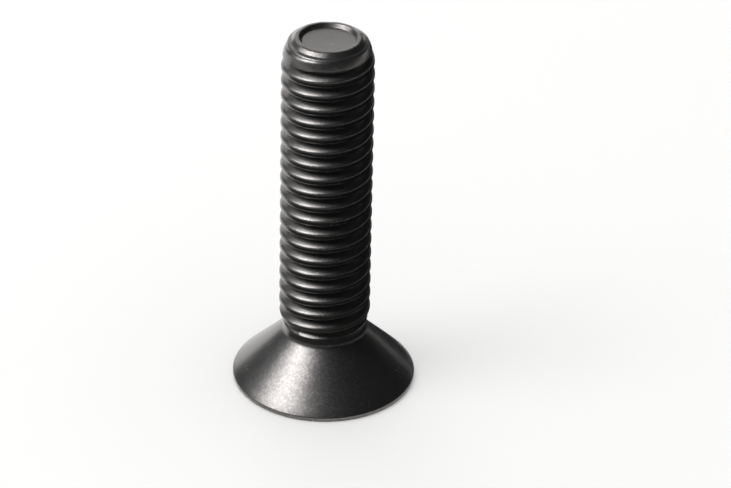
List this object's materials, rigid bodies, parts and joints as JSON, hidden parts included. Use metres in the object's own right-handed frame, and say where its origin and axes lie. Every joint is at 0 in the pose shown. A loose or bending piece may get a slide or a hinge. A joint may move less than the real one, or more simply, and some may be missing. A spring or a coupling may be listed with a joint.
{
  "type": "countersunk socket screw",
  "caption": "Countersunk machine screw: conical head with a hexagon socket, short plain neck and a right-hand metric thread up to a tapered tip with a shallow crater.",
  "frame": {"origin": "centre of the flat head face, on the screw's axis: the screw stands on its head", "axes": "+Z along the shank, from the head face to the tip. +X and +Y are square to it, and +X points at a corner of the hexagon socket"},
  "size_m": [0.0118, 0.0118, 0.0248],
  "materials": {
    "black_steel": "black oxide on alloy steel, lightly oiled, semi-gloss"
  },
  "bodies": {
    "root": {"screw": "black_steel"}
  },
  "joints": []
}
